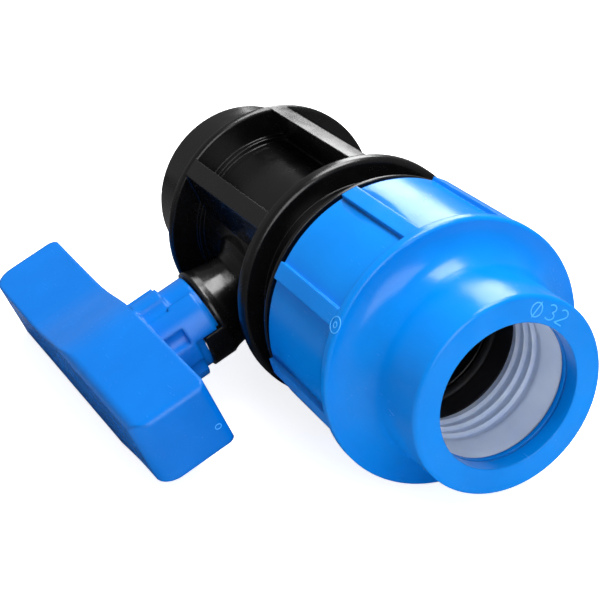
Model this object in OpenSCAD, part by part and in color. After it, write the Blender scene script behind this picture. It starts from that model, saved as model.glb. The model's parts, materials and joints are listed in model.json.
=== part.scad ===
// Plastic ball valve: threaded port at one end, compression socket for a pipe at the other.
// Every module is drawn in the valve's own axes: X along the pipe from the threaded port
// to the nut, Z along the stem from the ball to the handle, Y across.
// lay_down() then rolls the valve about X until it lies on its collar and its handle.

/* [Pipe line] */
// Outside diameter of the pipe the nut grips
pipe_d = 32; // [30:0.5:34]
// Length from the threaded port's face to the nose of the nut
valve_len = 130; // [126:0.5:135]
// Distance of the ball and stem from the threaded port's face
ball_x = 41.5; // [40:0.5:44]
// Minor diameter of the female thread in the rear port
thread_minor_d = 30.3; // [27:0.1:32]
// Depth of the female thread in the rear port
thread_depth = 19; // [14:0.5:21]

/* [Body] */
// Radius of the round rear socket
socket_r = 22.2; // [20.5:0.1:26]
// Radius of the thin flange behind the ball
rear_flange_r = 28.2; // [25:0.1:31]
// Radius of the barrel around the ball
barrel_r = 20; // [19.6:0.1:22]
// Radius of the wide flange in front of the ball
front_flange_r = 30; // [27:0.1:32]
// Thickness of the four ribs beside the barrel
rib_t = 4; // [2.5:0.1:6]
// Distance of the ribs' middle from the pipe axis
rib_offset = 13.2; // [10.5:0.1:16]
// Radius of the pipe thread under the nut
male_thread_r = 24.5; // [23:0.1:26]

/* [Nut] */
// Radius of the nut's collar
collar_r = 31.3; // [29.5:0.1:34]
// Radius of the nut's skirt between its ribs
nut_skirt_r = 29.8; // [28.2:0.1:30.6]
// Radius of the nut's nose
nose_r = 22.6; // [21.8:0.1:26]
// Number of grip ribs round the nut
nut_ribs = 8; // [4:1:16]
// Width of a grip rib
nut_rib_w = 4; // [2:0.1:7]
// Rise of the nut's coarse thread for one turn
nut_pitch = 5; // [3:0.5:6]

/* [Ball and stem] */
// Diameter of the ball
ball_d = 32.4; // [31.6:0.1:32.8]
// Diameter of the port through the ball
port_d = 20.4; // [17:0.1:21]
// Diameter of the stem's shaft
stem_d = 12.4; // [10:0.1:12.8]
// Width of the drive blade that stands in the ball's slot
tang_w = 5.6; // [4:0.1:7]

/* [Handle] */
// Height of the handle's inner face above the pipe axis
handle_in = 45.6; // [44.6:0.1:50]
// Height of the handle's outer face above the pipe axis
handle_out = 65; // [60:0.5:72]
// Half the width of the handle at its middle
handle_half = 12.5; // [12.3:0.1:15]
// Half width of the set-back side of each wing
wing_half = 5; // [3:0.1:9]
// Reach of the wing over the nut
near_reach = 40.5; // [34:0.5:60]
// Reach of the wing over the threaded port
far_reach = 62; // [38:0.5:70]
// Radius of the fluted hub
hub_r = 12.3; // [11.6:0.1:12.3]

/* [Fits] */
// Air left round the loose inner rings
ring_gap = 0.3; // [0.25:0.01:0.4]
// Air left between the ball and its seats
ball_gap = 0.25; // [0.15:0.01:0.4]

/* [Hidden] */
$fn = 96;
cut = 1;
pipe_r = pipe_d / 2;
bore_r = pipe_r + 0.6;
chamber_r = bore_r + 0.25;
ball_r = ball_d / 2;
port_r = port_d / 2;
seat_in_r = port_r + 0.2;
stem_r = stem_d / 2;
thread_r = thread_minor_d / 2;

// stations along the pipe
web_x = ball_x - 16;
rear_flange_x = ball_x - 19.4;
rear_flange_t = 2.4;
front_flange_t = 3.8;
rim_edge = 0.9;
ring_t = 1.1;
seat_back = ball_x - web_x - ring_gap;
window_x = ball_x + 21.2;
flange_end_x = window_x + 13.3;
carrier_x = ball_x + seat_back + ring_gap;
carrier_len = 8.5;
nose_x = valve_len;
collar_x = nose_x - 21.4;
collar_t = 2.3;
skirt_x = nose_x - 51.3;
mouth_x = nose_x - 30.5;
grip_front_x = nose_x - 6.2;
grip_back_x = mouth_x + 5.8;
bush_x = mouth_x + ring_gap;
bush_end_x = grip_back_x - ring_gap;
cone_x = grip_back_x + 0.2;
lip_x = nose_x - 5.5;

// heights along the stem
ledge_z = barrel_r - 0.4;
boss_top = 31;
stop_top = 35.8;
skirt_z = boss_top + 0.5;
skirt_r = hub_r - 1.6;
hub_z = 38.4;
boss_base_r = 12.7;
boss_waist_r = 9.7;
boss_top_r = 11.4;
shaft_bore_r = stem_r + 0.35;
counterbore_r = stem_r + 2.1;
collar_z = ball_r + 0.4;
washer_z = ledge_z - ring_gap - 1.1;
slot_z = port_r + 1.8;
square_w = 8.4;
drive_top = handle_in - 3;

// thread and cone of the nut
nut_bore_r = male_thread_r + ring_gap;
cone_back_r = bore_r + 6;
cone_front_r = bore_r + 2.7;

// the lower outer edge of the handle and the collar share one flat floor
edge_r = 2.2;
edge_z = handle_out - edge_r;
edge_y = handle_half - edge_r;
rest_tilt = asin((collar_r - edge_r) / sqrt(edge_z * edge_z + edge_y * edge_y)) - atan(edge_y / edge_z);

module lay_down() {
    rotate([90 + rest_tilt, 0, 0])
        children();
}

module rod(x0, x1, r) {
    translate([x0, 0, 0])
        rotate([0, 90, 0])
            cylinder(h = x1 - x0, r = r);
}

module taper(x0, x1, r0, r1) {
    translate([x0, 0, 0])
        rotate([0, 90, 0])
            cylinder(h = x1 - x0, r1 = r0, r2 = r1);
}

module post(z0, z1, r) {
    translate([0, 0, z0])
        cylinder(h = z1 - z0, r = r);
}

module o_ring(mid_r, wire_r) {
    rotate_extrude()
        translate([mid_r, 0])
            circle(r = wire_r);
}

// a ring round the pipe axis at x
module line_o_ring(x, mid_r, wire_r) {
    translate([x, 0, 0])
        rotate([0, 90, 0])
            o_ring(mid_r, wire_r);
}

// a wedge of the round space about the stem from angle a0 to a1 (less than 180 apart)
module wedge(a0, a1, z0, z1) {
    r = 40;
    mid = (a0 + a1) / 2;
    translate([0, 0, z0])
        linear_extrude(z1 - z0)
            polygon([[0, 0], [r * cos(a0), r * sin(a0)], [1.5 * r * cos(mid), 1.5 * r * sin(mid)],
                     [r * cos(a1), r * sin(a1)]]);
}

// ---------------------------------------------------------------- body
module socket_shell() {
    edge = 2.5;
    end = rear_flange_x;
    rotate([0, 90, 0])
        rotate_extrude() {
            polygon([[0, 0], [socket_r - edge, 0], [socket_r, edge], [socket_r + 0.5, end - 3],
                     [socket_r + 1.5, end - 1], [0, end - 1]]);
            translate([socket_r - edge, edge])
                circle(r = edge);
        }
}

// a round flange across the pipe axis with both edges of its rim rounded
module rim_disc(x0, x1, r, edge) {
    rotate([0, 90, 0])
        rotate_extrude() {
            polygon([[0, x0], [r - edge, x0], [r, x0 + edge], [r, x1 - edge], [r - edge, x1], [0, x1]]);
            translate([r - edge, x0 + edge])
                circle(r = edge);
            translate([r - edge, x1 - edge])
                circle(r = edge);
        }
}

module boss_shape() {
    rotate_extrude()
        polygon([[0, 0], [boss_base_r, 0], [boss_base_r, 17.6], [boss_base_r - 1.4, 18.8],
                 [boss_waist_r + 0.5, 20], [boss_waist_r, 21.2], [boss_waist_r + 0.3, 24],
                 [boss_top_r - 0.6, 28.6], [boss_top_r, 30.2], [boss_top_r, boss_top], [0, boss_top]]);
}

module stop_wall() {
    intersection() {
        difference() {
            post(boss_top - 1, stop_top, boss_top_r);
            post(boss_top - 2, stop_top + cut, 8.6);
        }
        wedge(-79, 9, boss_top - 1, stop_top);
    }
}

module side_ribs() {
    for (up = [-1, 1])
        intersection() {
            translate([rear_flange_x - 1, -40, up * rib_offset - rib_t / 2])
                cube([window_x - rear_flange_x + 2, 80, rib_t]);
            taper(rear_flange_x - 1, window_x + 1, rear_flange_r - 0.2, front_flange_r - 0.2);
        }
}

module body_outside() {
    socket_shell();
    rim_disc(rear_flange_x - rear_flange_t, rear_flange_x, rear_flange_r, rim_edge);
    rod(rear_flange_x - 0.5, rear_flange_x + 1.5, barrel_r + 1.2);
    rod(rear_flange_x, window_x + 1, barrel_r);
    side_ribs();
    rim_disc(window_x, window_x + front_flange_t, front_flange_r, 1.3);
    rod(window_x + 1, mouth_x, male_thread_r);
    rim_disc(flange_end_x - ring_t, flange_end_x, front_flange_r - 1, 0.4);
    translate([ball_x, 0, 0]) {
        boss_shape();
        stop_wall();
    }
}

module valve_body() {
    color("#141414")
        difference() {
            body_outside();
            rod(-cut, thread_depth, thread_r);
            rod(thread_depth - cut, web_x + cut, port_r);
            rod(web_x, mouth_x + cut, chamber_r);
            rod(mouth_x - 4.2, mouth_x + cut, bore_r + 3.3);
            translate([ball_x, 0, 0]) {
                post(0, boss_top + cut, shaft_bore_r);
                post(0, ledge_z, counterbore_r + ring_gap);
            }
        }
}

// ---------------------------------------------------------------- nut end
module nut_outside() {
    fillet = 7.5;
    edge = 1;
    rotate([0, 90, 0])
        rotate_extrude()
            difference() {
                union() {
                    translate([0, collar_x - 1])
                        square([nose_r, nose_x - edge - collar_x + 1]);
                    translate([0, nose_x - edge - 0.1])
                        square([nose_r - edge, edge + 0.1]);
                    translate([nose_r - edge, nose_x - edge])
                        circle(r = edge);
                    translate([0, collar_x - collar_t])
                        square([collar_r, collar_t - 0.8]);
                    translate([0, collar_x - 1])
                        square([collar_r - 0.8, 1]);
                    translate([collar_r - 0.8, collar_x - 0.8])
                        circle(r = 0.8);
                    translate([nose_r - 1, collar_x - 0.01])
                        square([fillet + 1, fillet + 0.01]);
                }
                translate([nose_r + fillet, collar_x + fillet])
                    circle(r = fillet);
                translate([nose_r + fillet, collar_x])
                    square([20, 40]);
            }
    taper(skirt_x, collar_x - collar_t + 0.5, nut_skirt_r - 0.3, nut_skirt_r + 0.2);
}

module nut_grip_ribs() {
    intersection() {
        for (i = [0:nut_ribs - 1])
            rotate([-6.3 - i * 360 / nut_ribs, 0, 0])
                translate([skirt_x, -nut_rib_w / 2, nut_bore_r + 1])
                    cube([collar_x - collar_t - skirt_x + 0.5, nut_rib_w, 12]);
        taper(skirt_x, collar_x, collar_r - 0.8, collar_r - 0.1);
    }
}

module compression_nut() {
    color("#0085f5")
        difference() {
            union() {
                nut_outside();
                nut_grip_ribs();
            }
            rod(skirt_x - cut, cone_x, nut_bore_r);
            taper(cone_x - 0.01, lip_x, cone_back_r, cone_front_r);
            rod(lip_x - 0.01, nose_x + cut, bore_r);
            rod(nose_x - 4.4, nose_x - 3.8, bore_r + 0.5);
        }
}

module grip_tooth(x) {
    taper(x - 2.9, x, bore_r + 0.7, bore_r - 0.45);
    rod(x - 0.01, x + 0.4, bore_r - 0.45);
}

module grip_ring() {
    gap = 0.35;
    slope = (cone_back_r - cone_front_r) / (lip_x - cone_x);
    back_r = cone_back_r - gap - slope * (grip_back_x - cone_x);
    front_r = cone_back_r - gap - slope * (grip_front_x - cone_x);
    color("#ededea")
        difference() {
            taper(grip_back_x, grip_front_x, back_r, front_r);
            // lead-in at the front, then rows of teeth that bite the pipe
            taper(grip_front_x - 6.1, grip_front_x + 0.01, bore_r - 0.45, bore_r + 0.4);
            rod(grip_front_x - 7, grip_front_x - 6, bore_r - 0.45);
            for (i = [0:3])
                grip_tooth(grip_front_x - 6.9 - i * 3.2);
            rod(grip_back_x - cut, grip_front_x - 19.3 + 3, bore_r + 0.3);
            rod(grip_back_x - cut, grip_front_x + cut, bore_r - 0.5);
            // the split that lets the ring close
            rotate([215, 0, 0])
                translate([grip_back_x - cut, -2.2, 0])
                    cube([grip_front_x - grip_back_x + 2 * cut, 4.4, 40]);
        }
}

module thrust_bush() {
    color("#1c1c1c")
        difference() {
            union() {
                rod(bush_x, bush_end_x, male_thread_r - 0.6);
                rod(mouth_x - 0.6, bush_x + 0.5, bore_r + 3);
            }
            rod(mouth_x - 2, bush_end_x + cut, bore_r + 0.3);
        }
}

module pipe_o_ring() {
    color("#0c0c0c")
        line_o_ring(mouth_x - 2.4, bore_r + 1.45, 1.5);
}

// ---------------------------------------------------------------- ball and seats
module ball() {
    color("#d9d7d0")
        translate([ball_x, 0, 0])
            difference() {
                sphere(r = ball_r);
                rod(-ball_r - cut, ball_r + cut, port_r);
                translate([-ball_r - cut, -tang_w / 2 - ring_gap, slot_z])
                    cube([2 * ball_r + 2 * cut, tang_w + 2 * ring_gap, ball_r]);
            }
}

// a seat behind the ball; the one in front is its mirror image
module seat() {
    difference() {
        rod(-seat_back, -9.4, chamber_r - ring_gap);
        sphere(r = ball_r + ball_gap);
        rod(-seat_back - cut, 0, seat_in_r);
        difference() {
            rod(-seat_back - cut, -seat_back + 2.2, seat_in_r + 4.1);
            rod(-seat_back - 2 * cut, -seat_back + 3, seat_in_r + 1.6);
        }
    }
}

module rear_ball_seat() {
    color("#f4f2ea")
        translate([ball_x, 0, 0])
            seat();
}

module front_ball_seat() {
    color("#f4f2ea")
        translate([ball_x, 0, 0])
            mirror([1, 0, 0])
                seat();
}

module rear_seat_o_ring() {
    color("#101010")
        line_o_ring(ball_x - seat_back + 0.95, seat_in_r + 2.85, 0.95);
}

module front_seat_o_ring() {
    color("#101010")
        line_o_ring(ball_x + seat_back - 0.95, seat_in_r + 2.85, 0.95);
}

module seat_carrier() {
    color("#202020")
        difference() {
            rod(carrier_x, carrier_x + carrier_len, chamber_r - ring_gap);
            rod(carrier_x - cut, carrier_x + carrier_len + cut, seat_in_r);
            taper(carrier_x + carrier_len - 3, carrier_x + carrier_len + 0.01, seat_in_r, seat_in_r + 2.4);
            difference() {
                rod(carrier_x + 2, carrier_x + 4.6, chamber_r + cut);
                rod(carrier_x + 1, carrier_x + 6, chamber_r - 2.4);
            }
            // two notches for the assembly key
            translate([carrier_x + carrier_len - 1.8, -20, -2])
                cube([3, 40, 4]);
        }
}

module carrier_o_ring() {
    color("#101010")
        line_o_ring(carrier_x + 3.3, chamber_r - 1.25, 0.95);
}

// ---------------------------------------------------------------- stem
module stem() {
    color("#e2e0d8")
        translate([ball_x, 0, 0])
            difference() {
                union() {
                    intersection() {
                        translate([-stem_r, -tang_w / 2, slot_z + ring_gap])
                            cube([2 * stem_r, tang_w, collar_z - slot_z]);
                        post(slot_z, collar_z + cut, stem_r - 0.1);
                    }
                    post(collar_z, washer_z - ring_gap, counterbore_r);
                    post(washer_z - 1, boss_top + 0.3, stem_r);
                    translate([-square_w / 2, -square_w / 2, boss_top])
                        cube([square_w, square_w, drive_top - boss_top]);
                }
                for (z = [ledge_z + 2.6, ledge_z + 6.2])
                    difference() {
                        post(z - 1.15, z + 1.15, stem_r + cut);
                        post(z - 2, z + 2, stem_r - 1.95);
                    }
            }
}

module stem_o_ring(z) {
    color("#101010")
        translate([ball_x, 0, z])
            o_ring(stem_r - 0.8, 0.85);
}

module stem_o_ring_lower() {
    stem_o_ring(ledge_z + 2.6);
}

module stem_o_ring_upper() {
    stem_o_ring(ledge_z + 6.2);
}

module stem_thrust_washer() {
    color("#c9c5b8")
        translate([ball_x, 0, 0])
            difference() {
                post(washer_z, washer_z + 1.1, counterbore_r);
                post(washer_z - cut, washer_z + 3, stem_r + 0.3);
            }
}

// ---------------------------------------------------------------- handle
// an upright rectangle with its own radius at each corner, counted from the low corner round
module rounded(x0, y0, x1, y1, r) {
    polygon([[x0 + r[0], y0], [x1 - r[1], y0], [x1, y0 + r[1]], [x1, y1 - r[2]],
             [x1 - r[2], y1], [x0 + r[3], y1], [x0, y1 - r[3]], [x0, y0 + r[0]]]);
    translate([x0 + r[0], y0 + r[0]])
        circle(r = r[0]);
    translate([x1 - r[1], y0 + r[1]])
        circle(r = r[1]);
    translate([x1 - r[2], y1 - r[2]])
        circle(r = r[2]);
    translate([x0 + r[3], y1 - r[3]])
        circle(r = r[3]);
}

// the handle seen from its end: crisp edges towards the body, rounded ones outside
module handle_end() {
    polygon([[-handle_half, handle_in], [handle_half, handle_in], [handle_half, edge_z], [edge_y, handle_out],
             [-edge_y, handle_out], [-handle_half, edge_z]]);
    for (y = [-edge_y, edge_y])
        translate([y, edge_z])
            circle(r = edge_r);
}

// what is cut from the side of a wing to set it back: a flat step with a smooth S-shaped start
module set_back() {
    start = -4;
    run = 38;
    n = 12;
    bend = [for (i = [0:n]) [start + run * i / n,
                             wing_half + (handle_half - wing_half) * (0.5 + 0.5 * cos(180 * i / n))]];
    translate([0, 0, handle_in - 2 * cut])
        linear_extrude(handle_out - handle_in + 4 * cut)
            polygon(concat(bend, [[far_reach + 40, wing_half], [far_reach + 40, handle_half + 20],
                                  [start, handle_half + 20]]));
}

module handle_bar() {
    difference() {
        intersection() {
            translate([0, 0, handle_in - cut])
                linear_extrude(handle_out - handle_in + 2 * cut)
                    rounded(-far_reach, -handle_half, near_reach, handle_half, [3, 3, 1.6, 3]);
            rotate([90, 0, 0])
                translate([0, 0, -40])
                    linear_extrude(80)
                        rounded(-far_reach, handle_in, near_reach, handle_out, [2.5, 2, 5, 5.5]);
            rotate([90, 0, 90])
                translate([0, 0, -100])
                    linear_extrude(200)
                        handle_end();
        }
        mirror([1, 0, 0])
            set_back();
        mirror([0, 1, 0])
            set_back();
    }
}

module hub_flutes() {
    for (a = [25:45:340])
        rotate([0, 0, a])
            translate([hub_r + 2.3, 0, hub_z - cut])
                cylinder(h = handle_in - hub_z + cut, r = 3.4);
}

module hub() {
    difference() {
        union() {
            difference() {
                post(hub_z, handle_in, hub_r);
                hub_flutes();
            }
            post(stop_top + 0.5, hub_z + 0.1, skirt_r);
            intersection() {
                post(skirt_z, hub_z, skirt_r);
                union() {
                    wedge(12.6, 102, skirt_z, hub_z);
                    wedge(101, 190, skirt_z, hub_z);
                }
            }
            intersection() {
                post(skirt_z + 1, hub_z + 1, hub_r);
                wedge(12.6, 64.3, skirt_z, hub_z + 1);
            }
        }
        // room for the top of the stem inside the skirt
        post(skirt_z - cut, stop_top + 0.5, 8.3);
    }
}

module handle() {
    color("#0085f5")
        translate([ball_x, 0, 0])
            difference() {
                union() {
                    handle_bar();
                    hub();
                }
                translate([-square_w / 2 - ring_gap, -square_w / 2 - ring_gap, stop_top - 2])
                    cube([square_w + 2 * ring_gap, square_w + 2 * ring_gap, drive_top + ring_gap - stop_top + 2]);
            }
}

lay_down() {
    valve_body();
    compression_nut();
    grip_ring();
    thrust_bush();
    pipe_o_ring();
    ball();
    rear_ball_seat();
    front_ball_seat();
    rear_seat_o_ring();
    front_seat_o_ring();
    seat_carrier();
    carrier_o_ring();
    stem();
    stem_o_ring_lower();
    stem_o_ring_upper();
    stem_thrust_washer();
    handle();
}
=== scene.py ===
import json
import math

import bmesh
import bpy
import numpy as np
from mathutils import Matrix, Vector


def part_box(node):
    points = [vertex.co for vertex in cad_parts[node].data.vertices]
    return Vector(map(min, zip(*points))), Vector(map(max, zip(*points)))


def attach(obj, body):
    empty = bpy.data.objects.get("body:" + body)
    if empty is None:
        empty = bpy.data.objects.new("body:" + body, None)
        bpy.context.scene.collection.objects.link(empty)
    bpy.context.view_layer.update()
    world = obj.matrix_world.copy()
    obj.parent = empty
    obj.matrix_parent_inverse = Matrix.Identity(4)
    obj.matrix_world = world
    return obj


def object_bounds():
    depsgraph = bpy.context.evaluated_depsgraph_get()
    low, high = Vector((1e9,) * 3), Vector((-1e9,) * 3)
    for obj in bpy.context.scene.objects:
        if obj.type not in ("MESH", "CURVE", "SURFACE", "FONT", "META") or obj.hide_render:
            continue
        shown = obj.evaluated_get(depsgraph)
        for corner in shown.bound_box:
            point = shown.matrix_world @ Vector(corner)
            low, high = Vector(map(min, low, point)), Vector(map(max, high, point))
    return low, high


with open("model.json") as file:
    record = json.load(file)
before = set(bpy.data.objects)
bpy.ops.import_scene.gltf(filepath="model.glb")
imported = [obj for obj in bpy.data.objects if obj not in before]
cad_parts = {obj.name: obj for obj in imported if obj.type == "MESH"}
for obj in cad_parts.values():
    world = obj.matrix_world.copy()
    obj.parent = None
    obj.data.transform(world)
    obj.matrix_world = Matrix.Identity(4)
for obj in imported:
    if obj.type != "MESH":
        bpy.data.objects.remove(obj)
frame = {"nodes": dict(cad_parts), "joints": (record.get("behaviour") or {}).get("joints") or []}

bl_info = {
    "name": "Ball Valve Looks",
    "version": (1, 0, 0),
    "blender": (4, 5, 0),
    "location": "3D View > Sidebar > Ball Valve",
    "description": "Moulded plastic finishes, mould marks, threads and a studio for a ball valve",
    "category": "Object",
}

CAD_BOX = [list(map(float, corner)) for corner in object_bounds()]
MM = 0.001
NUT_LOW, NUT_HIGH = (np.array(c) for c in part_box("compression_nut"))
NOSE_X = float(NUT_HIGH[0])
BALL_X = float((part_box("ball")[0][0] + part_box("ball")[1][0]) / 2)
FLOOR_Z = CAD_BOX[0][2]
HINGE = next(j for j in frame["joints"] if j["name"] == "handle_turn")
STEM = np.array(HINGE["axis"], float) / np.linalg.norm(HINGE["axis"])
PIPE = np.array([1.0, 0.0, 0.0])
ACROSS = np.cross(STEM, PIPE)


# ------------------------------------------------------------ colour and nodes
def linear(code):
    """sRGB hex string to linear RGBA: below 0.04045 a straight line, above it a 2.4 power."""
    s = np.array([int(code[i:i + 2], 16) for i in (1, 3, 5)]) / 255
    c = np.where(s <= 0.04045, s / 12.92, ((s + 0.055) / 1.055) ** 2.4)
    return (*map(float, c), 1.0)


def add(tree, kind, inputs=None, **settings):
    """Adds one node, sets its properties, then fills each input with a value or a link from a socket."""
    node = tree.nodes.new(kind)
    for key, value in settings.items():
        setattr(node, key, value)
    for key, value in (inputs or {}).items():
        if isinstance(value, bpy.types.NodeSocket):
            tree.links.new(value, node.inputs[key])
        else:
            node.inputs[key].default_value = value
    return node


def ramp(tree, fac, stops):
    """A colour ramp over fac: stops are (position, rgba)."""
    node = add(tree, "ShaderNodeValToRGB", {"Fac": fac})
    while len(node.color_ramp.elements) < len(stops):
        node.color_ramp.elements.new(0.5)
    for element, (place, colour) in zip(node.color_ramp.elements, stops):
        element.position = place
        element.color = colour
    return node.outputs["Color"]


def moulded(name, colour, shade, rough, rough_spread, grain, grain_depth, flow, edge, ior=1.49, spec=0.5,
            soft=0.0, soft_radius=(1.0, 1.0, 1.0), scuff=0.0):
    """A moulded plastic or rubber. colour and shade are the two tones that slow flow clouds blend between.
    Roughness wanders with a middling noise, the grain of the tool's steel is a fine bump, and the edges are
    rounded by a bevel of edge millimetres. grain and flow are sizes in millimetres."""
    mat = bpy.data.materials.new(name)
    mat.use_nodes = True
    tree = mat.node_tree
    tree.nodes.clear()
    place = add(tree, "ShaderNodeTexCoord").outputs["Object"]
    clouds = add(tree, "ShaderNodeTexNoise", {"Vector": place, "Scale": 1 / (flow * MM), "Detail": 3.0,
                                              "Roughness": 0.55})
    tone = ramp(tree, clouds.outputs["Fac"], [(0.3, linear(shade)), (0.7, linear(colour))])
    patches = add(tree, "ShaderNodeTexNoise", {"Vector": place, "Scale": 1 / (flow * 0.35 * MM), "Detail": 4.0})
    gloss = add(tree, "ShaderNodeMapRange", {"Value": patches.outputs["Fac"], "From Min": 0.3, "From Max": 0.7,
                                             "To Min": rough - rough_spread, "To Max": rough + rough_spread})
    fine = add(tree, "ShaderNodeTexNoise", {"Vector": place, "Scale": 1 / (grain * MM), "Detail": 2.0})
    rough_out = gloss.outputs["Result"]
    if scuff:
        # hairline handling scratches: a stretched noise that only shows at its peaks
        along = add(tree, "ShaderNodeMapping", {"Vector": place, "Scale": (1.0, 9.0, 9.0)})
        lines = add(tree, "ShaderNodeTexNoise", {"Vector": along.outputs["Vector"], "Scale": 260.0, "Detail": 5.0})
        worn = add(tree, "ShaderNodeMapRange", {"Value": lines.outputs["Fac"], "From Min": 0.62, "From Max": 0.78,
                                                "To Min": 0.0, "To Max": scuff})
        rough_out = add(tree, "ShaderNodeMath", {0: rough_out, 1: worn.outputs["Result"]},
                        operation="ADD", use_clamp=True).outputs["Value"]
    rounded = add(tree, "ShaderNodeBevel", {"Radius": edge * MM}, samples=6)
    bump = add(tree, "ShaderNodeBump", {"Height": fine.outputs["Fac"], "Distance": grain_depth * MM,
                                        "Strength": 1.0, "Normal": rounded.outputs["Normal"]})
    wave = add(tree, "ShaderNodeBump", {"Height": clouds.outputs["Fac"], "Distance": 0.06 * MM,
                                        "Strength": 1.0, "Normal": bump.outputs["Normal"]})
    shader = add(tree, "ShaderNodeBsdfPrincipled", {"Base Color": tone, "Roughness": rough_out, "IOR": ior,
                                                    "Specular IOR Level": spec, "Normal": wave.outputs["Normal"]})
    if soft:
        shader.inputs["Subsurface Weight"].default_value = soft
        shader.inputs["Subsurface Radius"].default_value = soft_radius
        shader.inputs["Subsurface Scale"].default_value = 1.5 * MM
    out = add(tree, "ShaderNodeOutputMaterial")
    tree.links.new(shader.outputs["BSDF"], out.inputs["Surface"])
    return mat


def dress(node_names, mat):
    """Gives CAD nodes one material."""
    for name in node_names:
        mesh = frame["nodes"][name].data
        mesh.materials.clear()
        mesh.materials.append(mat)


def piece(name, verts, faces, mat, body, slot, smooth=True):
    """A mesh object at the origin from arrays of points (metres) and quads, riding on a body."""
    mesh = bpy.data.meshes.new(name)
    mesh.from_pydata(verts.tolist(), [], faces.tolist())
    mesh.polygons.foreach_set("use_smooth", [smooth] * len(mesh.polygons))
    mesh.materials.append(mat)
    mesh.update()
    obj = bpy.data.objects.new(name, mesh)
    bpy.context.scene.collection.objects.link(obj)
    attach(obj, body)
    return obj


# ------------------------------------------------------------ surfaces
def tube_along(path, radius, sides=8, closed=False, square_to=PIPE):
    """Sweeps a circle along path (N x 3): each ring is centre + radius (cos v . n + sin v . b), where n and b
    are two directions square to the path's tangent, b also square to square_to, which the path never runs along.
    Open ends close to a point on the path.
    Returns points and quads."""
    path = np.asarray(path, float)
    if closed:
        tangent = np.roll(path, -1, 0) - np.roll(path, 1, 0)
    else:
        tangent = np.gradient(path, axis=0)
    tangent /= np.linalg.norm(tangent, axis=1, keepdims=True)
    b = np.cross(tangent, square_to)
    b /= np.linalg.norm(b, axis=1, keepdims=True)
    n = np.cross(b, tangent)
    v = np.linspace(0, 2 * np.pi, sides, endpoint=False)
    width = np.full(len(path), radius)
    if not closed:
        width[0] = width[-1] = radius * 0.02
    rings = path[:, None] + width[:, None, None] * (np.cos(v)[None, :, None] * n[:, None]
                                                   + np.sin(v)[None, :, None] * b[:, None])
    return rings.reshape(-1, 3), grid_faces(len(path), sides, closed)


def grid_faces(rows, cols, rows_close):
    """Quads of a grid of rows x cols points that closes round its columns, and along its rows if asked."""
    i = np.arange(rows if rows_close else rows - 1)[:, None]
    j = np.arange(cols)[None, :]
    a = i * cols + j
    b = i * cols + (j + 1) % cols
    c = ((i + 1) % rows) * cols + (j + 1) % cols
    d = ((i + 1) % rows) * cols + j
    return np.stack([a, b, c, d], -1).reshape(-1, 4)


def on_nose(angle, right, up, radius, lift=0.0):
    """A point of the nose's face: angle (degrees, from the stem towards across) picks the place on a circle of
    that radius, then right and up (mm) step along the circle and outwards. lift stands it off the face."""
    a = math.radians(angle)
    out = STEM * math.cos(a) + ACROSS * math.sin(a)
    along = -STEM * math.sin(a) + ACROSS * math.cos(a)
    right, up = np.atleast_1d(right), np.atleast_1d(up)
    return (PIPE * (NOSE_X + lift * MM) + (radius + up)[:, None] * MM * out + right[:, None] * MM * along)


def arc(cx, cy, rx, ry, start, end, count=24):
    """Points of an ellipse centred on cx, cy from angle start to end, in degrees."""
    t = np.radians(np.linspace(start, end, count))
    return np.stack([cx + rx * np.cos(t), cy + ry * np.sin(t)], 1)


def merge(parts):
    """Joins several (points, quads) into one."""
    verts, faces, base = [], [], 0
    for v, f in parts:
        verts.append(v)
        faces.append(f + base)
        base += len(v)
    return np.vstack(verts), np.vstack(faces)


# ------------------------------------------------------------ settings
class ValveFinish(bpy.types.PropertyGroup):
    """Colours and finish of the plastics."""
    blue: bpy.props.StringProperty(name="Blue", description="Colour of the nut and handle", default="#0082E2")
    blue_shade: bpy.props.StringProperty(name="Blue shade", description="Darker flow tone of the blue",
                                         default="#007AD8")
    black: bpy.props.StringProperty(name="Black", description="Colour of the body", default="#0B0B0D")
    collet: bpy.props.StringProperty(name="Collet", description="Colour of the grip ring", default="#DDE8FA")
    blue_rough: bpy.props.FloatProperty(name="Blue roughness", description="Roughness of the nut and handle",
                                        default=0.21, min=0.05, max=1.0)
    black_rough: bpy.props.FloatProperty(name="Black roughness", description="Roughness of the body",
                                         default=0.22, min=0.05, max=1.0)
    edge: bpy.props.FloatProperty(name="Edge round", description="Rounding of moulded edges, in millimetres",
                                  default=0.55, min=0.0, max=2.0)


class ValveMarks(bpy.types.PropertyGroup):
    """Sizes of the mould marks and threads."""
    letter: bpy.props.FloatProperty(name="Figure height", description="Height of the size figures, in millimetres",
                                    default=3.3, min=1.0, max=5.0)
    stroke: bpy.props.FloatProperty(name="Stroke", description="Half width of a raised line, in millimetres",
                                    default=0.18, min=0.05, max=0.4)
    pitch: bpy.props.FloatProperty(name="Port thread pitch", description="Pitch of the rear thread, in millimetres",
                                   default=2.309, min=1.0, max=4.0)
    crest: bpy.props.FloatProperty(name="Port thread crest", description="Rise of the rear thread, in millimetres",
                                   default=0.75, min=0.2, max=1.2)


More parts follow.
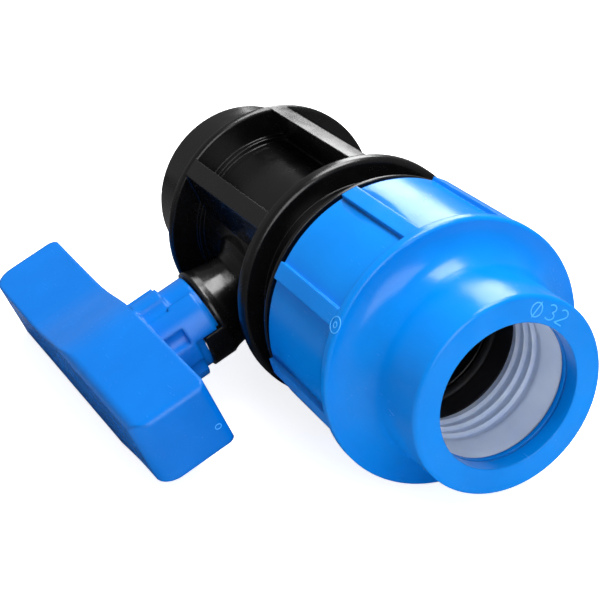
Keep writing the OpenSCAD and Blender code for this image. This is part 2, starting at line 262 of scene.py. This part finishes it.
class StudioSettings(bpy.types.PropertyGroup):
    """Camera and light."""
    heading: bpy.props.FloatProperty(name="Heading", description="Compass direction the camera looks along, degrees",
                                     default=156.06)
    fall: bpy.props.FloatProperty(name="Fall", description="How far the camera looks down, degrees", default=28.6)
    roll: bpy.props.FloatProperty(name="Roll", description="Turn of the camera about its own axis, degrees",
                                  default=-7.16)
    distance: bpy.props.FloatProperty(name="Distance", description="Camera to target", default=0.4298,
                                      subtype="DISTANCE")
    target: bpy.props.FloatVectorProperty(name="Target", description="Point the camera looks at", size=3,
                                          default=(0.05962, -0.01254, -0.00377), subtype="TRANSLATION")
    lens: bpy.props.FloatProperty(name="Lens", description="Focal length in millimetres on a 36 mm sensor",
                                  default=110.46)
    key: bpy.props.FloatProperty(name="Key light", description="Power of the main softbox, watts", default=5.2)
    fill: bpy.props.FloatProperty(name="Fill light", description="Power of the side softbox, watts", default=1.7)
    room: bpy.props.FloatProperty(name="Room light", description="Strength of the even room light", default=0.24)


# ------------------------------------------------------------ operators
class VALVE_OT_body(bpy.types.Operator):
    """Black injection-moulded body with a threaded port"""
    bl_idname = "valve.body"
    bl_label = "Body"

    def execute(self, context):
        look = context.scene.valve_finish
        # black polypropylene, injection moulded in a polished tool: near black with crisp soft-edged highlights
        mat = moulded("black_polypropylene_moulded", look.black, "#070708", look.black_rough, 0.06,
                      grain=0.45, grain_depth=0.006, flow=14, edge=look.edge, scuff=0.12)
        dress(["valve_body"], mat)
        marks = context.scene.valve_marks
        low = np.array(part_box("valve_body")[0])
        turns = 7.0
        root = 15.25
        t = np.linspace(0, turns, int(turns * 72))
        # helical ridge: radius dips in by the crest and fades out at both ends, x advances a pitch a turn
        fade = np.clip(np.minimum(t, turns - t) / 0.35, 0.02, 1.0)
        angle = 2 * np.pi * t
        x = low[0] + (1.6 + marks.pitch * t) * MM
        half = marks.pitch * 0.42 * MM
        profile = np.array([[-1.0, 0.0], [-0.12, 1.0], [0.12, 1.0], [1.0, 0.0], [0.0, -0.3]])
        r = (root - marks.crest * fade[:, None] * profile[None, :, 1]) * MM
        px = x[:, None] + half * profile[None, :, 0] * np.clip(fade, 0.05, 1)[:, None]
        verts = np.stack([px, r * np.cos(angle)[:, None], r * np.sin(angle)[:, None]], -1).reshape(-1, 3)
        faces = grid_faces(len(t), len(profile), False)
        obj = piece("port_thread", verts, faces, mat, "valve", "black_body", smooth=False)
        close_ends(obj)
        return {"FINISHED"}


def close_ends(obj):
    """Fills open ends with faces and turns every face outwards."""
    bm = bmesh.new()
    bm.from_mesh(obj.data)
    bmesh.ops.holes_fill(bm, edges=[e for e in bm.edges if e.is_boundary], sides=0)
    bmesh.ops.recalc_face_normals(bm, faces=bm.faces[:])
    bm.to_mesh(obj.data)
    bm.free()
    obj.data.update()


class VALVE_OT_nut(bpy.types.Operator):
    """Blue compression nut with its size figures and gate ring"""
    bl_idname = "valve.nut"
    bl_label = "Nut"

    def execute(self, context):
        look = context.scene.valve_finish
        marks = context.scene.valve_marks
        # blue polypropylene, injection moulded: even bright blue, satin gloss with broad white highlights
        mat = moulded("blue_polypropylene_moulded", look.blue, look.blue_shade, look.blue_rough, 0.05,
                      grain=0.5, grain_depth=0.006, flow=16, edge=look.edge, scuff=0.1,
                      spec=0.3)
        dress(["compression_nut"], mat)
        # the raised marks are the same plastic, drawn a tone lighter to stand for the light on their thin edges
        raised = moulded("blue_polypropylene_marks_painted_highlight", "#4BB4FF", "#3DA9FA", look.blue_rough, 0.05,
                         grain=0.5, grain_depth=0.004, flow=16, edge=0.1)
        # the handle is a heavier moulding of the same plastic, drawn a darker blue than the nut, with wider rounded
        # edges
        dress(["handle"], moulded("blue_polypropylene_handle", "#0072D2", "#006BC8", look.blue_rough, 0.05, spec=0.3,
                                  grain=0.5, grain_depth=0.006, flow=20, edge=look.edge * 2.4, scuff=0.12))
        h = marks.letter / 2
        w = h * 0.72
        slashed = [arc(0, 0, w * 1.15, h * 0.95, 0, 372, 50),
                   np.stack([np.linspace(-w * 0.75, w * 0.85, 12), np.linspace(-h * 1.15, h * 1.2, 12)], 1)]
        three = [arc(0, h * 0.5, w * 0.85, h * 0.5, 150, -80, 20), arc(0, -h * 0.5, w, h * 0.5, 80, -150, 24)]
        two = [np.vstack([arc(0, h * 0.45, w * 0.9, h * 0.55, 160, -20, 20),
                          np.stack([np.linspace(w * 0.7, -w, 10), np.linspace(h * 0.1, -h, 10)], 1),
                          np.stack([np.linspace(-w * 0.85, w, 8), np.full(8, -h)], 1)])]
        parts = []
        for angle, figure in ((131.0, slashed), (142.2, three), (152.0, two)):
            for line in figure:
                path = on_nose(angle, line[:, 0], line[:, 1], 19.45, lift=-0.06)
                parts.append(tube_along(path, marks.stroke * MM, 8))
        size = piece("size_figures", *merge(parts), raised, "nut", "blue_plastic")
        close_ends(size)
        # gate ring: where the sprue met the collar, a thin raised ring with a nub, drawn in the marks' lighter blue
        # as a painted highlight on its thin edges
        ring_parts = []
        a0, x0, r0 = 49.5, NOSE_X / MM - 22.6, 31.25
        for rad in (1.75, 0.6):
            t = np.linspace(0, 2 * np.pi, 40, endpoint=False)
            s = rad * np.sin(t)
            ang = math.radians(a0) + rad * np.cos(t) / r0
            out = np.cos(ang)[:, None] * STEM + np.sin(ang)[:, None] * ACROSS
            path = (x0 + s)[:, None] * MM * PIPE + r0 * MM * out
            ring_parts.append(tube_along(path, 0.12 * MM, 6, closed=True,
                                         square_to=math.cos(math.radians(a0)) * STEM
                                         + math.sin(math.radians(a0)) * ACROSS))
        piece("nut_gate_ring", *merge(ring_parts), raised, "nut", "blue_plastic")
        return {"FINISHED"}


class VALVE_OT_handle(bpy.types.Operator):
    """Gate mark on the handle's end"""
    bl_idname = "valve.handle"
    bl_label = "Handle"

    def execute(self, context):
        # the gate mark takes the marks' lighter blue, a painted highlight on its thin edges
        mat = bpy.data.materials["blue_polypropylene_marks_painted_highlight"]
        high_x = float(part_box("handle")[1][0])
        t = np.linspace(0, 2 * np.pi, 32, endpoint=False)
        centre = STEM * 47.9 * MM + ACROSS * 0.6 * MM + PIPE * high_x
        path = centre + 0.75 * MM * (np.cos(t)[:, None] * STEM + 0.8 * np.sin(t)[:, None] * ACROSS)
        piece("handle_gate_mark", *tube_along(path, 0.11 * MM, 6, closed=True), mat, "turning_handle",
              "blue_plastic")
        return {"FINISHED"}


class VALVE_OT_inner(bpy.types.Operator):
    """Grip ring, seals, seats, ball and stem"""
    bl_idname = "valve.inner"
    bl_label = "Inner pieces"

    def execute(self, context):
        look = context.scene.valve_finish
        # acetal collet, injection moulded: milky white that lets a little light through, soft satin
        dress(["grip_ring"], moulded("milky_acetal_moulded", look.collet, "#CFDDF4", 0.38, 0.05, grain=0.5,
                                     grain_depth=0.005, flow=9, edge=0.25, soft=0.35,
                                     soft_radius=(0.8, 0.9, 1.0)))
        # nitrile rubber, moulded: dull deep grey-black with a wide weak highlight
        dress(["pipe_o_ring", "rear_seat_o_ring", "front_seat_o_ring", "carrier_o_ring",
               "stem_o_ring_lower", "stem_o_ring_upper"],
              moulded("nitrile_rubber_moulded", "#18181A", "#111112", 0.55, 0.08, grain=0.3, grain_depth=0.01,
                      flow=6, edge=0.1, ior=1.52, spec=0.35))
        # PTFE seats, turned from rod: waxy white with a weak sheen
        dress(["rear_ball_seat", "front_ball_seat"],
              moulded("ptfe_turned", "#F0EEE6", "#E6E3D9", 0.5, 0.06, grain=0.25, grain_depth=0.008, flow=7,
                      edge=0.15, ior=1.35, soft=0.2))
        # glass-filled ball, moulded and polished: pale warm grey, smooth
        dress(["ball"], moulded("polished_filled_plastic", "#D6D3CA", "#CBC8BE", 0.22, 0.05, grain=0.35,
                                grain_depth=0.004, flow=8, edge=0.3))
        # acetal stem and washer, moulded: warm off-white satin
        dress(["stem", "stem_thrust_washer"],
              moulded("acetal_moulded", "#DAD8CF", "#CFCDC3", 0.4, 0.06, grain=0.4, grain_depth=0.006, flow=8,
                      edge=0.25))
        # carrier and bush in black polypropylene with a duller, finely eroded finish
        dress(["seat_carrier", "thrust_bush"],
              moulded("black_polypropylene_eroded", "#1B1B1D", "#131315", 0.45, 0.07, grain=0.3,
                      grain_depth=0.012, flow=9, edge=0.25))
        return {"FINISHED"}


class VALVE_OT_stage(bpy.types.Operator):
    """Pale floor, white room, soft lights and the camera"""
    bl_idname = "valve.stage"
    bl_label = "Studio"

    def execute(self, context):
        scene = context.scene
        s = scene.valve_studio
        scene.view_settings.view_transform = "Standard"
        # painted white board, matt: the floor keeps the shadow under the valve
        mesh = bpy.data.meshes.new("floor")
        span = 3.0
        mesh.from_pydata([(-span, -span, FLOOR_Z), (span, -span, FLOOR_Z), (span, span, FLOOR_Z),
                          (-span, span, FLOOR_Z)], [], [(0, 1, 2, 3)])
        floor = bpy.data.objects.new("floor", mesh)
        scene.collection.objects.link(floor)
        mesh.materials.append(self.floor_paint())
        self.room(scene, s.room)
        self.softbox("key_softbox", (0.08, 0.16, 0.6), (0.06, 0, 0), (0.42, 0.3), s.key)
        self.softbox("side_softbox", (0.62, -0.1, 0.28), (0.07, 0, 0), (0.3, 0.5), s.fill)
        self.softbox("back_softbox", (-0.4, 0.3, 0.42), (0.03, 0, 0), (0.2, 0.6), s.fill * 1.6)
        camera = bpy.data.cameras.new("camera")
        camera.sensor_width = 36.0
        camera.lens = s.lens
        camera.clip_start = 0.01
        obj = bpy.data.objects.new("camera", camera)
        head, fall, roll = (math.radians(a) for a in (s.heading, s.fall, s.roll))
        look = np.array([math.cos(head) * math.cos(fall), math.sin(head) * math.cos(fall), -math.sin(fall)])
        right = np.cross(look, [0, 0, 1])
        right /= np.linalg.norm(right)
        up = np.cross(right, look)
        r = right * math.cos(roll) + up * math.sin(roll)
        u = up * math.cos(roll) - right * math.sin(roll)
        place = np.array(s.target) - look * s.distance
        obj.matrix_world = Matrix([(r[i], u[i], -look[i], place[i]) for i in range(3)] + [(0, 0, 0, 1)])
        scene.collection.objects.link(obj)
        scene.camera = obj
        return {"FINISHED"}

    def floor_paint(self):
        mat = bpy.data.materials.new("matt_white_paint")
        mat.use_nodes = True
        tree = mat.node_tree
        tree.nodes.clear()
        place = add(tree, "ShaderNodeTexCoord").outputs["Object"]
        speck = add(tree, "ShaderNodeTexNoise", {"Vector": place, "Scale": 40.0, "Detail": 3.0})
        tone = ramp(tree, speck.outputs["Fac"], [(0.3, linear("#FBFBFB")), (0.7, linear("#FFFFFF"))])
        # a studio liberty: reflections see the board much darker, so that it doesn't veil the plastics
        rays = add(tree, "ShaderNodeLightPath")
        level = add(tree, "ShaderNodeMapRange", {"Value": rays.outputs["Is Glossy Ray"], "To Min": 1.0,
                                                 "To Max": 0.12})
        shade = add(tree, "ShaderNodeVectorMath", {0: tone, "Scale": level.outputs["Result"]}, operation="SCALE")
        shader = add(tree, "ShaderNodeBsdfPrincipled", {"Base Color": shade.outputs["Vector"], "Roughness": 0.8,
                                                        "Specular IOR Level": 0.2})
        # to the camera the board also glows a little, so it reads as bright white paper with a faint shadow
        glow = add(tree, "ShaderNodeMath", {0: rays.outputs["Is Camera Ray"], 1: 0.8}, operation="MULTIPLY")
        light = add(tree, "ShaderNodeEmission", {"Color": (1, 1, 1, 1), "Strength": glow.outputs["Value"]})
        both = add(tree, "ShaderNodeAddShader", {0: shader.outputs["BSDF"], 1: light.outputs["Emission"]})
        out = add(tree, "ShaderNodeOutputMaterial")
        tree.links.new(both.outputs["Shader"], out.inputs["Surface"])
        return mat

    def room(self, scene, strength):
        world = bpy.data.worlds.new("room")
        world.use_nodes = True
        tree = world.node_tree
        tree.nodes.clear()
        path = add(tree, "ShaderNodeLightPath")
        seen = add(tree, "ShaderNodeMath", {0: path.outputs["Is Camera Ray"], 1: path.outputs["Is Transmission Ray"]},
                   operation="MAXIMUM")
        level = add(tree, "ShaderNodeMapRange", {"Value": seen.outputs["Value"], "To Min": strength, "To Max": 1.0})
        back = add(tree, "ShaderNodeBackground", {"Color": (1, 1, 1, 1), "Strength": level.outputs["Result"]})
        out = add(tree, "ShaderNodeOutputWorld")
        tree.links.new(back.outputs["Background"], out.inputs["Surface"])
        scene.world = world

    def softbox(self, name, place, target, size, power):
        light = bpy.data.lights.new(name, "AREA")
        light.shape = "RECTANGLE"
        light.size, light.size_y = size
        light.energy = power
        obj = bpy.data.objects.new(name, light)
        obj.location = place
        obj.rotation_euler = (Vector(target) - Vector(place)).to_track_quat("-Z", "Y").to_euler()
        bpy.context.scene.collection.objects.link(obj)


class VALVE_PT_panel(bpy.types.Panel):
    """Sidebar panel for the valve"""
    bl_label = "Ball Valve"
    bl_idname = "VALVE_PT_panel"
    bl_space_type = "VIEW_3D"
    bl_region_type = "UI"
    bl_category = "Ball Valve"

    def draw(self, context):
        layout = self.layout
        for group in (context.scene.valve_finish, context.scene.valve_marks, context.scene.valve_studio):
            box = layout.box()
            for name in group.__annotations__:
                box.prop(group, name)
        for op in OPERATORS:
            layout.operator(op.bl_idname)


OPERATORS = (VALVE_OT_body, VALVE_OT_nut, VALVE_OT_handle, VALVE_OT_inner, VALVE_OT_stage)
CLASSES = (ValveFinish, ValveMarks, StudioSettings) + OPERATORS + (VALVE_PT_panel,)


def register():
    for cls in CLASSES:
        bpy.utils.register_class(cls)
    bpy.types.Scene.valve_finish = bpy.props.PointerProperty(type=ValveFinish)
    bpy.types.Scene.valve_marks = bpy.props.PointerProperty(type=ValveMarks)
    bpy.types.Scene.valve_studio = bpy.props.PointerProperty(type=StudioSettings)


def unregister():
    del bpy.types.Scene.valve_finish
    del bpy.types.Scene.valve_marks
    del bpy.types.Scene.valve_studio
    for cls in reversed(CLASSES):
        bpy.utils.unregister_class(cls)


def main():
    register()
    bpy.ops.valve.body()
    bpy.ops.valve.nut()
    bpy.ops.valve.handle()
    bpy.ops.valve.inner()
    bpy.ops.valve.stage()
    bpy.context.view_layer.update()


if __name__ == "__main__":
    main()
